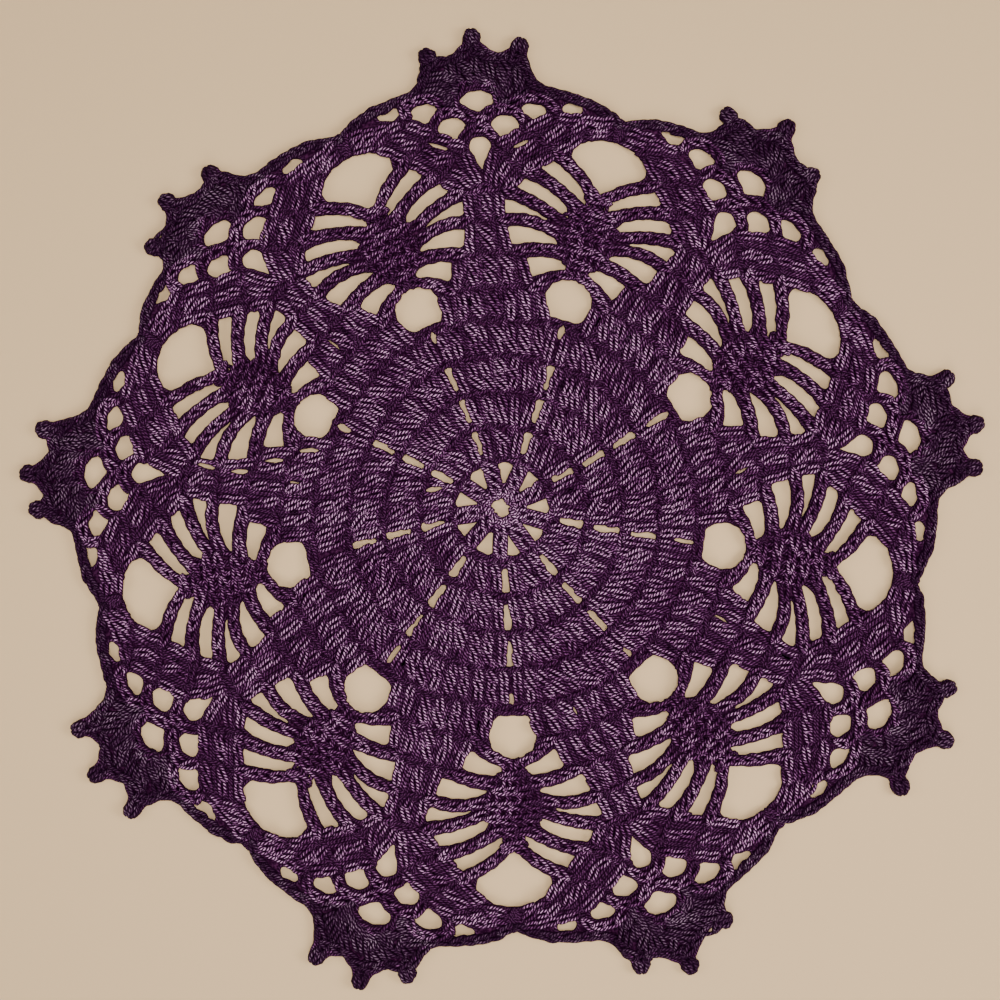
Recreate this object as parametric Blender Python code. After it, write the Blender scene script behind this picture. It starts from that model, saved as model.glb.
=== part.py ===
"""A round lace doily crocheted in cotton, lying flat.

It is one sheet, worked outwards from a ring in nine repeats. Each repeat has a spider: a small solid
body held by six chains on each side between two solid arms. Between two spiders the arm ends in a net
of five gaps under a shell with three picots. The cloth lies a little unevenly, so each repeat is drawn
once and then laid by the tables SPIDERS and SHELLS. The underside is at z = 0, and +Y is up the cloth.
"""

import math
from collections import namedtuple

import bpy

MM = 0.001
REPEATS = 9
REPEAT_TURN = 360 / REPEATS
HALF_REPEAT = REPEAT_TURN / 2

THICKNESS = 2.0 * MM
CHAIN_WIDTH = 2.7
RING_HOLE_RADIUS = 2.0
RING_STEPS = 10
POLE = (-0.26, 0.23)  # the ring's centre, in mm from the middle of the cloth

# A slit lies between the chain ridges that close two rounds: the ridges' reaches, and its width at
# its inner and outer end, all in mm.
Slit = namedtuple("Slit", "inner_ridge outer_ridge inner_width outer_width")
SLITS = (
    Slit(12.7, 20.9, 1.0, 1.6),
    Slit(20.9, 29.4, 1.1, 1.7),
    Slit(29.4, 38.0, 0.9, 1.5),
)
# The nine gaps between the first round's posts stand this far round from the slits, between two reaches.
# Their sides are given as half widths in mm at shares of the way out.
PETAL_TURN = 15.0
PETAL_REACH = (6.2, 11.0)
PetalSide = namedtuple("PetalSide", "half_width way_out")
PETAL_SIDE = (PetalSide(0.5, 0), PetalSide(1.0, 0.45), PetalSide(2.1, 0.8), PetalSide(1.5, 1))

# Where each repeat lies. Turns are in degrees about the pole, anticlockwise from +X, and reaches in mm.
Spider = namedtuple("Spider", "slit_turn hole_turn fan_turn hole_reach fan_reach valley_reach")
SPIDERS = (
    Spider(28.0, 30.5, 30.5, 50.5, 83.0, 93.5),
    Spider(69.0, 72.0, 72.5, 50.0, 82.5, 93.0),
    Spider(109.5, 112.5, 113.5, 49.5, 82.0, 93.0),
    Spider(152.0, 153.5, 154.5, 47.5, 80.0, 92.0),
    Spider(194.0, 195.0, 193.5, 50.5, 83.5, 94.5),
    Spider(234.0, 233.5, 233.0, 52.0, 86.0, 97.0),
    Spider(273.5, 273.0, 272.0, 52.5, 86.0, 97.0),
    Spider(310.0, 312.0, 311.5, 53.0, 86.5, 97.0),
    Spider(348.5, 350.5, 350.0, 52.0, 85.5, 97.0),
)
# Each shell lies between the spider of its own row and the next.
Shell = namedtuple("Shell", "net_turn tip_turn wedge_reach net_reach tip_reach")
SHELLS = (
    Shell(52.0, 53.1, 43.5, 82.5, 111.5),
    Shell(93.5, 93.6, 42.5, 82.5, 110.5),
    Shell(135.0, 137.7, 41.5, 80.0, 106.0),
    Shell(174.5, 176.0, 42.0, 82.0, 111.0),
    Shell(213.5, 213.3, 43.5, 83.5, 113.5),
    Shell(252.5, 253.5, 44.5, 85.5, 115.5),
    Shell(292.0, 292.5, 45.5, 85.5, 116.0),
    Shell(331.0, 332.5, 45.0, 86.5, 117.5),
    Shell(370.0, 370.1, 44.0, 83.5, 113.0),
)
# The reaches that those tables give, on the repeat as drawn.
HOLE_REACH = 52.7
FAN_REACH = 85.9
VALLEY_REACH = 97.2
SLIT_REACH = 24.0
WEDGE_REACH = 45.2
NET_REACH = 85.6
TIP_REACH = 115.2

# The repeat as drawn: turns in degrees from the spider's axis, reaches in mm from the pole.
Point = namedtuple("Point", "turn reach")
# The pocket under the spider, from its floor to its foot.
POCKET = (Point(4.6, 48.2), Point(5.9, 51.0), Point(6.1, 53.6), Point(4.4, 56.8), Point(2.0, 57.9))
# A gap between two of the spider's chains, with its edges' bulge away from the pole, in mm.
SpokeGap = namedtuple("SpokeGap", "arm_in arm_out body_out body_in bulge_in bulge_out")
SPOKE_GAPS = (
    SpokeGap(Point(10.1, 56.4), Point(11.7, 61.0), Point(3.2, 61.7), Point(2.2, 59.8), 0.8, 0.6),
    SpokeGap(Point(15.0, 63.7), Point(15.8, 68.1), Point(5.6, 66.1), Point(5.0, 65.3), 0.6, 1.2),
    SpokeGap(Point(16.1, 71.0), Point(16.3, 74.6), Point(8.0, 70.6), Point(7.6, 70.0), 1.0, 0.5),
    SpokeGap(Point(14.2, 77.2), Point(12.8, 79.4), Point(5.2, 74.5), Point(4.2, 71.3), 0.7, 0.8),
    SpokeGap(Point(10.4, 82.1), Point(8.8, 84.5), Point(1.6, 77.5), Point(1.0, 74.8), 0.6, 0.6),
)
BOW_STEPS = 3  # straight stretches in each bowed edge
# Gaps that run from a point to a round end: the fan gap, then the net about the shell's axis.
Drop = namedtuple("Drop", "turn tip widest end half_width")
FAN_GAP = Drop(0.0, 78.6, 86.6, 92.0, 9.6)
NET_GAPS = (
    Drop(19.8, 80.8, 86.8, 89.1, 2.8),
    Drop(16.0, 88.0, 91.6, 93.9, 3.3),
    Drop(23.8, 88.0, 91.6, 93.9, 3.4),
    Drop(19.8, 94.6, 97.6, 100.2, 4.5),
    Drop(12.1, 93.6, 95.8, 97.0, 3.1),
    Drop(27.4, 93.6, 96.3, 98.1, 3.9),
    Drop(7.0, 95.7, 97.2, 98.3, 2.5),
    Drop(32.4, 96.4, 98.0, 99.6, 3.5),
)
# The side of every drop: its share of the half width, at shares of the way from the tip to the widest
# reach and from there to the end.
DropSide = namedtuple("DropSide", "width swell close")
DROP_SIDE = (
    DropSide(0.0, 0.0, 0.0),
    DropSide(0.42, 0.5, 0.0),
    DropSide(0.92, 0.88, 0.0),
    DropSide(0.93, 1.0, 0.38),
    DropSide(0.5, 1.0, 0.86),
)
# The outer edge from the valley under a spider to the shell's outer picot.
FLANK = (
    Point(0.0, 97.2),
    Point(2.0, 99.0),
    Point(4.5, 100.6),
    Point(8.0, 101.4),
    Point(11.2, 102.0),
    Point(12.5, 104.0),
    Point(13.2, 107.4),
)
# A picot is a round knob on the shell's edge.
Picot = namedtuple("Picot", "turn centre radius")
PICOTS = (Picot(14.5, 110.6, 2.1), Picot(20.0, 113.0, 2.1), Picot(26.1, 109.4, 2.1))
# How far each shell's first and last picot stand round and out from there.
Stray = namedtuple("Stray", "first_turn first_out last_turn last_out")
STRAYS = (
    Stray(0.1, -2.4, 0.9, -1.2),
    Stray(-0.1, 0.2, -0.3, 0.0),
    Stray(0.0, -1.1, 0.4, -1.6),
    Stray(0.1, 0.4, -1.4, 0.9),
    Stray(-0.2, 0.8, -0.1, 1.4),
    Stray(-0.2, 0.5, -0.5, -0.2),
    Stray(0.2, -1.2, 0.2, -2.1),
    Stray(-1.5, 0.0, 0.3, -0.2),
    Stray(0.4, 0.2, 0.0, 0.0),
)
PICOT_NECK = 120  # degrees of its rim that each picot leaves to the shell
PICOT_LEAN = 3.0  # a picot leans away from the shell's axis by this many times its turn from it
PICOT_STEPS = 6
SHELL_EDGE = Point(17.2, 109.0)  # the edge halfway between two picots


def smooth_between(values, where):
    """The value at a place along a closed row of values, by a smooth curve through them all."""
    count = len(values)
    first = math.floor(where)
    share = where - first
    before, start, end, after = (values[(first + step) % count] for step in (-1, 0, 1, 2))
    slope_in = (end - before) / 2
    slope_out = (after - start) / 2
    rest = 1 - share
    return (
        start * rest * rest * (1 + 2 * share)
        + end * share * share * (1 + 2 * rest)
        + slope_in * share * rest * rest
        - slope_out * share * share * rest
    )


def stepped(reach, stations):
    """The value at a reach, straight between stations (reach, value) and level beyond them."""
    if reach <= stations[0][0]:
        return stations[0][1]
    for (low, low_value), (high, high_value) in zip(stations, stations[1:]):
        if reach <= high:
            return low_value + (high_value - low_value) * (reach - low) / (high - low)
    return stations[-1][1]


def spider_turn(spider, reach):
    stations = ((SLIT_REACH, spider.slit_turn), (HOLE_REACH, spider.hole_turn), (FAN_REACH, spider.fan_turn))
    return stepped(reach, stations)


def spider_scale(spider, reach):
    stations = (
        (HOLE_REACH, spider.hole_reach / HOLE_REACH),
        (FAN_REACH, spider.fan_reach / FAN_REACH),
        (VALLEY_REACH, spider.valley_reach / VALLEY_REACH),
    )
    return stepped(reach, stations)


def shell_turn(index, reach):
    shell = SHELLS[index]
    following = spider_turn(SPIDERS[(index + 1) % REPEATS], reach)
    if index == REPEATS - 1:
        following += 360
    inner = (spider_turn(SPIDERS[index], reach) + following) / 2
    return stepped(reach, ((WEDGE_REACH, inner), (NET_REACH, shell.net_turn), (TIP_REACH, shell.tip_turn)))


def shell_scale(shell, reach):
    stations = (
        (WEDGE_REACH, shell.wedge_reach / WEDGE_REACH),
        (NET_REACH, shell.net_reach / NET_REACH),
        (TIP_REACH, shell.tip_reach / TIP_REACH),
    )
    return stepped(reach, stations)


def laid(turn, reach):
    """The place on the cloth, in metres, of a point of the even, drawn pattern."""
    shifts = []
    scales = []
    for index in range(REPEATS):
        even_turn = REPEAT_TURN * index
        shifts.append(spider_turn(SPIDERS[index], reach) - even_turn)
        scales.append(spider_scale(SPIDERS[index], reach))
        shifts.append(shell_turn(index, reach) - even_turn - HALF_REPEAT)
        scales.append(shell_scale(SHELLS[index], reach))
    where = turn / HALF_REPEAT
    angle = math.radians(turn + smooth_between(shifts, where))
    radius = reach * smooth_between(scales, where)
    return (
        (POLE[0] + radius * math.cos(angle)) * MM,
        (POLE[1] + radius * math.sin(angle)) * MM,
    )


def polar(across, along):
    """The turn and reach of a point given in mm across the spider's axis and along it."""
    return Point(math.degrees(math.atan2(across, along)), math.hypot(across, along))


def flat(point):
    """A drawn point in mm across the spider's axis and along it."""
    angle = math.radians(point.turn)
    return point.reach * math.sin(angle), point.reach * math.cos(angle)


def bowed(start, end, bulge):
    """Points from start up to, not including, end on a shallow bow whose middle stands out by bulge."""
    (start_x, start_y), (end_x, end_y) = flat(start), flat(end)
    points = []
    for step in range(BOW_STEPS):
        share = step / BOW_STEPS
        lift = bulge * 4 * share * (1 - share)
        points.append(polar(start_x + (end_x - start_x) * share, start_y + (end_y - start_y) * share + lift))
    return points


def mirrored(points):
    return [Point(-point.turn, point.reach) for point in reversed(points)]


def spoke_gap(gap):
    outer = bowed(gap.arm_out, gap.body_out, gap.bulge_out)
    inner = bowed(gap.body_in, gap.arm_in, gap.bulge_in)
    return outer + [gap.body_out] + inner + [gap.arm_in]


def drop_gap(drop):
    """A pointed tip, sides that swell to the widest reach, and a round end."""
    side = []
    for row in DROP_SIDE:
        reach = drop.tip + row.swell * (drop.widest - drop.tip) + row.close * (drop.end - drop.widest)
        side.append(Point(math.degrees(row.width * drop.half_width / reach), reach))
    points = side + [Point(0.0, drop.end)] + mirrored(side[1:])
    return [Point(drop.turn + point.turn, point.reach) for point in points]


def pocket_gap():
    return list(POCKET) + mirrored(POCKET)


def petal_gap():
    inner, outer = PETAL_REACH
    points = []
    for row in PETAL_SIDE:
        reach = inner + row.way_out * (outer - inner)
        points.append(Point(math.degrees(row.half_width / reach), reach))
    points += mirrored(points)
    return [Point(PETAL_TURN + point.turn, point.reach) for point in points]


def slit_gap(slit):
    inner = slit.inner_ridge + CHAIN_WIDTH / 2
    outer = slit.outer_ridge - CHAIN_WIDTH / 2
    points = []
    for width, reach in (
        (slit.inner_width, inner),
        (slit.inner_width, (inner + outer) / 2),
        (slit.outer_width, outer),
    ):
        points.append(Point(math.degrees(width / 2 / reach), reach))
    return points + mirrored(points)


def repeat_gaps():
    """Every gap of one repeat, as drawn from the spider's axis to the same place on the next repeat."""
    gaps = [petal_gap(), pocket_gap(), drop_gap(FAN_GAP)]
    for slit in SLITS:
        gaps.append(slit_gap(slit))
    for gap in SPOKE_GAPS:
        gaps.append(spoke_gap(gap))
        gaps.append(mirrored(spoke_gap(gap)))
    for drop in NET_GAPS:
        gaps.append(drop_gap(drop))
    return gaps


def picot_rim(picot):
    """Points round a picot, from the side towards the spider to the far side."""
    centre_x, centre_y = flat(Point(picot.turn - HALF_REPEAT, picot.centre))
    lean = (picot.turn - HALF_REPEAT) * PICOT_LEAN
    sweep = 360 - PICOT_NECK
    points = []
    for step in range(PICOT_STEPS + 1):
        heading = math.radians(lean + sweep * (step / PICOT_STEPS - 0.5))
        around = polar(
            centre_x + picot.radius * math.sin(heading),
            centre_y + picot.radius * math.cos(heading),
        )
        points.append(Point(around.turn + HALF_REPEAT, around.reach))
    return points


def picots_of(stray):
    """The three picots of a shell whose outer two are astray."""
    first, middle, last = PICOTS
    return (
        Picot(first.turn + stray.first_turn, first.centre + stray.first_out, first.radius),
        middle,
        Picot(last.turn + stray.last_turn, last.centre + stray.last_out, last.radius),
    )


def repeat_rim(index):
    """The outer edge of one repeat, from the valley of its spider to just short of the next valley."""
    first, middle, last = picots_of(STRAYS[index])
    far_edge = Point(REPEAT_TURN - SHELL_EDGE.turn, SHELL_EDGE.reach)
    points = list(FLANK)
    points += picot_rim(first) + [SHELL_EDGE]
    points += picot_rim(middle) + [far_edge]
    points += picot_rim(last)
    points += [Point(REPEAT_TURN - point.turn, point.reach) for point in reversed(FLANK[1:])]
    return points


def placed(points, index):
    return [laid(point.turn + REPEAT_TURN * index, point.reach) for point in points]


def ring_hole():
    points = []
    for step in range(RING_STEPS):
        angle = 2 * math.pi * step / RING_STEPS
        points.append((
            (POLE[0] + RING_HOLE_RADIUS * math.cos(angle)) * MM,
            (POLE[1] + RING_HOLE_RADIUS * math.sin(angle)) * MM,
        ))
    return points


def add_loop(curve, points):
    spline = curve.splines.new("POLY")
    spline.points.add(len(points) - 1)
    spline.use_cyclic_u = True
    for vertex, (x, y) in zip(spline.points, points):
        vertex.co = (x, y, 0, 1)


def cotton():
    material = bpy.data.materials.new("purple_cotton")
    material.use_nodes = True
    shader = material.node_tree.nodes["Principled BSDF"]
    shader.inputs["Base Color"].default_value = (0.085, 0.022, 0.11, 1)
    shader.inputs["Roughness"].default_value = 0.55
    shader.inputs["Metallic"].default_value = 0
    material.diffuse_color = (0.085, 0.022, 0.11, 1)
    return material


def doily():
    curve = bpy.data.curves.new("doily", "CURVE")
    curve.dimensions = "2D"
    curve.fill_mode = "BOTH"
    curve.extrude = THICKNESS / 2
    rim = []
    for index in range(REPEATS):
        rim += placed(repeat_rim(index), index)
    add_loop(curve, rim)
    add_loop(curve, ring_hole())
    for index in range(REPEATS):
        for gap in repeat_gaps():
            add_loop(curve, placed(gap, index))
    curve.materials.append(cotton())
    sheet = bpy.data.objects.new("doily", curve)
    sheet.location.z = THICKNESS / 2
    return sheet


def main():
    for existing in list(bpy.data.objects):
        bpy.data.objects.remove(existing)
    collection = bpy.data.collections.new("lace_doily")
    bpy.context.scene.collection.children.link(collection)
    collection.objects.link(doily())


main()
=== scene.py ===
"""The crocheted doily as its maker sees it: every stitch a loop of plied cotton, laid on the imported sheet.

Lengths are in mm until a mesh is made. A repeat is drawn once, with turns in degrees from the spider's
axis and reaches in mm from the ring's centre, and laid nine times by the tables SPIDERS and SHELLS.
"""

import math
from collections import namedtuple
from functools import partial

import bmesh
import bpy
import numpy as np
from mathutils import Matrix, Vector
from mathutils.geometry import delaunay_2d_cdt


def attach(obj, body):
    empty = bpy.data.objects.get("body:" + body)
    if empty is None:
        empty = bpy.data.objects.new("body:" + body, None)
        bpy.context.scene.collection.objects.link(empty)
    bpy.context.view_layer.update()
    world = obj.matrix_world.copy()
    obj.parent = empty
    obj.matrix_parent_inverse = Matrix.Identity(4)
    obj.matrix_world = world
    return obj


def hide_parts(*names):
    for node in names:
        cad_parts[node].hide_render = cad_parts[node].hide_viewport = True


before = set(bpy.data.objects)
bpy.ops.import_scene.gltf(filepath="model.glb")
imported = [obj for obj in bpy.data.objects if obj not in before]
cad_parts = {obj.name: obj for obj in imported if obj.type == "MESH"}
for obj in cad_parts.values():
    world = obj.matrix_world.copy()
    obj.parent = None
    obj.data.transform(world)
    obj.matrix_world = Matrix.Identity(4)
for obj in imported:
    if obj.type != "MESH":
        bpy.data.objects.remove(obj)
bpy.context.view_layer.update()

MM = 0.001
REPEATS = 9
REPEAT_TURN = 360 / REPEATS
HALF_REPEAT = REPEAT_TURN / 2
POLE = (-0.26, 0.23)  # the ring's centre, in mm from the middle of the cloth


def rows(names, *table):
    """The rows of a table, with their values named."""
    row = namedtuple("row", names)
    return [row(*values) for values in table]


# ---------------- how the cloth lies

# A spider's turns, anticlockwise from +X, are those of its slits, pocket and fan gap, and its reaches those
# of its pocket, fan gap and valley.
SPIDERS = rows(
    "turns reaches",
    ((28.0, 30.5, 30.5), (50.5, 83.0, 93.5)),
    ((69.0, 72.0, 72.5), (50.0, 82.5, 93.0)),
    ((109.5, 112.5, 113.5), (49.5, 82.0, 93.0)),
    ((152.0, 153.5, 154.5), (47.5, 80.0, 92.0)),
    ((194.0, 195.0, 193.5), (50.5, 83.5, 94.5)),
    ((234.0, 233.5, 233.0), (52.0, 86.0, 97.0)),
    ((273.5, 273.0, 272.0), (52.5, 86.0, 97.0)),
    ((310.0, 312.0, 311.5), (53.0, 86.5, 97.0)),
    ((348.5, 350.5, 350.0), (52.0, 85.5, 97.0)),
)
# A shell lies between the spider of its own row and the next. Its turns are those of its net and tip, and
# its reaches those of its wedge, net and tip.
SHELLS = rows(
    "turns reaches",
    ((52.0, 53.1), (43.5, 82.5, 111.5)),
    ((93.5, 93.6), (42.5, 82.5, 110.5)),
    ((135.0, 137.7), (41.5, 80.0, 106.0)),
    ((174.5, 176.0), (42.0, 82.0, 111.0)),
    ((213.5, 213.3), (43.5, 83.5, 113.5)),
    ((252.5, 253.5), (44.5, 85.5, 115.5)),
    ((292.0, 292.5), (45.5, 85.5, 116.0)),
    ((331.0, 332.5), (45.0, 86.5, 117.5)),
    ((370.0, 370.1), (44.0, 83.5, 113.0)),
)
# The reaches, on the repeat as drawn, that those turns and reaches are for.
SPIDER_TURNS_AT = (24.0, 52.7, 85.9)
SPIDER_REACHES = (52.7, 85.9, 97.2)
SHELL_REACHES = (45.2, 85.6, 115.2)


def smooth_between(values, where):
    """The value at a place along a closed row of values, by a smooth curve through them all."""
    count = len(values)
    first = math.floor(where)
    share = where - first
    before, start, end, after = (values[(first + step) % count] for step in (-1, 0, 1, 2))
    slope_in = (end - before) / 2
    slope_out = (after - start) / 2
    rest = 1 - share
    return (
        start * rest * rest * (1 + 2 * share)
        + end * share * share * (1 + 2 * rest)
        + slope_in * share * rest * rest
        - slope_out * share * share * rest
    )


def spider_turn(index, reach):
    """The turn of a spider's axis at a reach. The spider after the last is the first, a full turn on."""
    rounds, index = divmod(index, REPEATS)
    return 360 * rounds + np.interp(reach, SPIDER_TURNS_AT, SPIDERS[index].turns)


def shell_turn(index, reach):
    halfway = (spider_turn(index, reach) + spider_turn(index + 1, reach)) / 2
    return np.interp(reach, SHELL_REACHES, (halfway, *SHELLS[index].turns))


def scale(row, drawn, reach):
    """How much further out than drawn a spider or shell lies at a reach."""
    return np.interp(reach, drawn, np.divide(row.reaches, drawn))


def laid(turn, reach):
    """The place on the cloth, in mm, of a point of the even, drawn pattern."""
    shifts = []
    scales = []
    for index in range(REPEATS):
        shifts.append(spider_turn(index, reach) - REPEAT_TURN * index)
        shifts.append(shell_turn(index, reach) - REPEAT_TURN * index - HALF_REPEAT)
        scales.append(scale(SPIDERS[index], SPIDER_REACHES, reach))
        scales.append(scale(SHELLS[index], SHELL_REACHES, reach))
    where = turn / HALF_REPEAT
    angle = math.radians(turn + smooth_between(shifts, where))
    radius = reach * smooth_between(scales, where)
    return POLE[0] + radius * math.cos(angle), POLE[1] + radius * math.sin(angle)


def placed(points, index):
    """Drawn points (turn, reach) of one repeat, laid on the cloth as an array of x and y."""
    return np.array([laid(turn + REPEAT_TURN * index, reach) for turn, reach in points])


def on_side(hand, points):
    """Points as drawn, or for the hand -1 those on the other side of the spider's axis."""
    return [(hand * turn, reach) for turn, reach in points]


def across_shell(points):
    """The same line on the other side of the shell's axis, run the other way."""
    return [(REPEAT_TURN - turn, reach) for turn, reach in reversed(points)]


# ---------------- lines on the cloth

HEADING_SHARE = 0.02  # a line's heading is taken over this share of it, each way


def unit(vector):
    return vector / np.linalg.norm(vector)


def units(vectors):
    return vectors / np.linalg.norm(vectors, axis=1)[:, None]


def square(heading):
    """The direction to the left of a heading on the cloth."""
    return np.array([-heading[1], heading[0]])


def aimed(turn):
    """The heading at a turn in degrees."""
    return np.array([math.cos(math.radians(turn)), math.sin(math.radians(turn))])


def angles_round(count):
    return 2 * np.pi * np.arange(count) / count


def curve_through(points, steps=8):
    """A smooth line through laid points, as a closely spaced array."""
    points = np.vstack([2 * points[0] - points[1], points, 2 * points[-1] - points[-2]])
    line = []
    for before, start, end, after in zip(points, points[1:], points[2:], points[3:]):
        slope = end - before
        bend = 2 * before - 5 * start + 4 * end - after
        turn = 3 * start - before - 3 * end + after
        for share in np.arange(steps) / steps:
            line.append((2 * start + slope * share + bend * share**2 + turn * share**3) / 2)
    line.append(points[-2])
    return np.array(line)


def length_of(line):
    return float(np.linalg.norm(np.diff(line, axis=0), axis=1).sum())


def runs_along(line):
    """How far along a line each of its points lies."""
    return np.concatenate([[0], np.cumsum(np.linalg.norm(np.diff(line, axis=0), axis=1))])


def at_runs(line, runs, wanted):
    """The points that lie so far along a line."""
    return np.stack([np.interp(wanted, runs, line[:, axis]) for axis in (0, 1)], axis=1)


def spread(line, shares):
    """The points at these shares of a line's length, and the line's headings there."""
    runs = runs_along(line)
    wanted = shares * runs[-1]
    nudge = HEADING_SHARE * runs[-1]
    headings = at_runs(line, runs, wanted + nudge) - at_runs(line, runs, wanted - nudge)
    return at_runs(line, runs, wanted), units(headings)


# ---------------- yarn

YARN_RADIUS = 0.5
YARN_SIDES = 6
PLIES = 3
PLY_SPACING = 0.61  # from one ply's crest to the next along the yarn
SHADE_LEVEL = 1.6  # yarn lower than this gets painted shade, for the shade of the stitches over it
SHADE_DEPTH = 1.35  # and how much darker that painted shade is a millimetre down
PAINTED_LIGHT_BY_REACH = ((0, 0.6), (45, 0.12), (110, -0.1))  # painted light: how much lighter the yarn is painted at these reaches, lightest in the middle where the light falls strongest
LOWEST_YARN = YARN_RADIUS + 0.02  # the lowest that its middle lies, so that it stays on the floor
STRIP_MARGIN = 0.04  # the share of a row in the bake map that stays bare on each side of the thread
MAP_AREA = 1.02  # how many times the thread's own area the bake map has
MAP_SHRINK = 1.002  # and how far it is drawn in from its border
UP = np.array([0.0, 0.0, 1.0])
rng = np.random.default_rng(904)

Loop = namedtuple("Loop", "path tone twist")


class Skein:
    """The closed loops of yarn that make one piece: how much darker its yarn is painted, as painted shade,
    and how unruly its stitches lie.
    """

    def __init__(self, name, shade=0.0, unruly=1.0):
        self.name = name
        self.shade = shade
        self.unruly = unruly
        self.loops = []

    def add(self, path, shade=0.0):
        """Take in a closed path. shade darkens a sunk stitch, as painted shade."""
        path = parted(path)
        path[:, 2] = np.maximum(path[:, 2], LOWEST_YARN)
        # A loop's brightness: random, less the painted shade of a sunk stitch and of the whole piece.
        tone = rng.uniform() - shade - self.shade
        self.loops.append(Loop(path, tone, rng.uniform()))


def length_round(path):
    return length_of(np.vstack([path, path[:1]]))


def loop_body(path):
    """The vertices of a closed tube of yarn along a closed path."""
    tangent = units(np.roll(path, -1, axis=0) - np.roll(path, 1, axis=0))
    side = units(np.cross(tangent, UP))
    lift = np.cross(side, tangent)
    angles = angles_round(YARN_SIDES)[None, :, None]
    rim = np.cos(angles) * side[:, None, :] + np.sin(angles) * lift[:, None, :]
    return (path[:, None, :] + YARN_RADIUS * rim).reshape(-1, 3)


def loop_faces(count):
    """Quads of a closed tube with this many rings, and each corner's step along and step around."""
    along, around = np.meshgrid(np.arange(count), np.arange(YARN_SIDES), indexing="ij")
    along = along.ravel()
    around = around.ravel()
    steps_along = np.stack([along, along + 1, along + 1, along], axis=1)
    steps_around = np.stack([around, around, around + 1, around + 1], axis=1)
    faces = (steps_along % count) * YARN_SIDES + steps_around % YARN_SIDES
    return faces, steps_along, steps_around


def bake_strips(along, around, count, begun, length, side):
    """Each corner's place in the bake map, where the whole thread lies cut in rows as long as the side."""
    segment = length / count
    row = np.floor((begun + segment * along[:, :1]) / side)
    across = STRIP_MARGIN + (1 - 2 * STRIP_MARGIN) * around / YARN_SIDES
    x = begun + segment * along - row * side
    y = (row + across) * 2 * np.pi * YARN_RADIUS
    return np.stack([x, y], axis=2)


def mesh_of(name, vertices, faces, material):
    """A mesh in metres of vertices in mm."""
    mesh = bpy.data.meshes.new(name)
    mesh.from_pydata(np.asarray(vertices) * MM, [], faces)
    mesh.materials.append(material)
    return mesh


def in_scene(name, data):
    """A new object, linked into the scene."""
    thing = bpy.data.objects.new(name, data)
    bpy.context.scene.collection.objects.link(thing)
    return thing


def made(skein, material):
    """One mesh object of all a skein's loops, with the ply map, the bake map and a brightness at each point:
    its loop's random one, less painted shade for a sunk stitch, for the piece and where the yarn lies low,
    and with painted light toward the middle.
    """
    lengths = [length_round(loop.path) for loop in skein.loops]
    side = math.sqrt(sum(lengths) * 2 * np.pi * YARN_RADIUS * MAP_AREA)
    vertices = []
    faces = []
    plies = []
    strips = []
    total = 0
    begun = 0.0
    for loop, length in zip(skein.loops, lengths):
        count = len(loop.path)
        body = loop_body(loop.path)
        quads, along, around = loop_faces(count)
        crests = max(1, round(length / PLY_SPACING))
        vertices.append(body)
        faces.append(quads + total)
        plies.append(np.stack([loop.twist + along / count * crests, -around / YARN_SIDES * PLIES], axis=2))
        strips.append(bake_strips(along, around, count, begun, length, side))
        total += len(body)
        begun += length
    strips = np.concatenate(strips)
    strips /= strips.max() * MAP_SHRINK
    places = np.concatenate([loop.path for loop in skein.loops])
    # Each point's brightness: random per loop, with painted shade and painted light added below.
    tones_and_painted_light = np.repeat([loop.tone for loop in skein.loops], [len(loop.path) for loop in skein.loops])
    # Painted shade: yarn that lies low is painted darker.
    tones_and_painted_light -= SHADE_DEPTH * np.clip(SHADE_LEVEL - places[:, 2], 0, None)
    # Painted light: the yarn is painted lighter toward the middle and darker toward the rim.
    tones_and_painted_light += np.interp(np.linalg.norm(places[:, :2] - POLE, axis=1), *zip(*PAINTED_LIGHT_BY_REACH))
    mesh = mesh_of(skein.name, np.concatenate(vertices), np.concatenate(faces), material)
    for name, corners in (("Plies", np.concatenate(plies)), ("OFBake", strips)):
        layer = mesh.uv_layers.new(name=name)
        layer.uv.foreach_set("vector", corners.astype(np.float32).ravel())
    tone_and_light_layer = mesh.attributes.new("tone", "FLOAT", "POINT")
    tone_and_light_layer.data.foreach_set("value", tones_and_painted_light.repeat(YARN_SIDES).astype(np.float32))
    mesh.polygons.foreach_set("use_smooth", np.ones(len(mesh.polygons), bool))
    mesh.validate()
    return in_scene(skein.name, mesh)


# ---------------- stitches

LINK_PITCH = 2.95
LINK_REACH = 1.42  # a chain loop's length, in pitches: its round end lies under the next loop
LINK_HALF_WIDTH = 0.82
LINK_POINTS = 14
LINK_TURN_SPREAD = 0.14  # how far the loops of a chain vary in heading, length, width and tilt
LINK_LENGTH_SPREAD = 0.04
LINK_WIDTH_SPREAD = 0.06
LINK_ROLL_SPREAD = 0.12
LINK_WOBBLE = 0.1
POST_HALF_WIDTH = 0.64
POST_POINTS = 11
POST_LEAN = 0.25
POST_WOBBLE = 0.15
FOOT_OUT = 0.1  # a post's foot starts this far outside the ridge that it is worked over
HEAD_IN = 1.95  # and its head ends this far inside the next
TURN_LENGTH = 2.5  # a turn of yarn up a post
TURN_TUCK = 0.35  # how far each turn runs under the next
TURN_TILT = 0.7  # and how far it leans across the post, to each side
TURN_WOBBLE = 0.17  # how far a turn lies from its even place
TURN_LIFT = 0.08
TILT_SPREAD = 0.5  # how far its lean varies
STRAND_ROLL = 0.2
EDGE_ROOM = 0.35  # the share of its lean that a post has beside a gap
LEAST_POST = 0.5  # a post is at least this wide to each side of its middle
MOST_TAPER = 0.6
FILL_POINTS = 10
LEAST_SPARE = 0.12  # room between two posts for a loop's back
WIDE_SPARE = 0.4  # and for a second one
BACK_HALF_WIDTHS = (0.3, 0.45)
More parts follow.
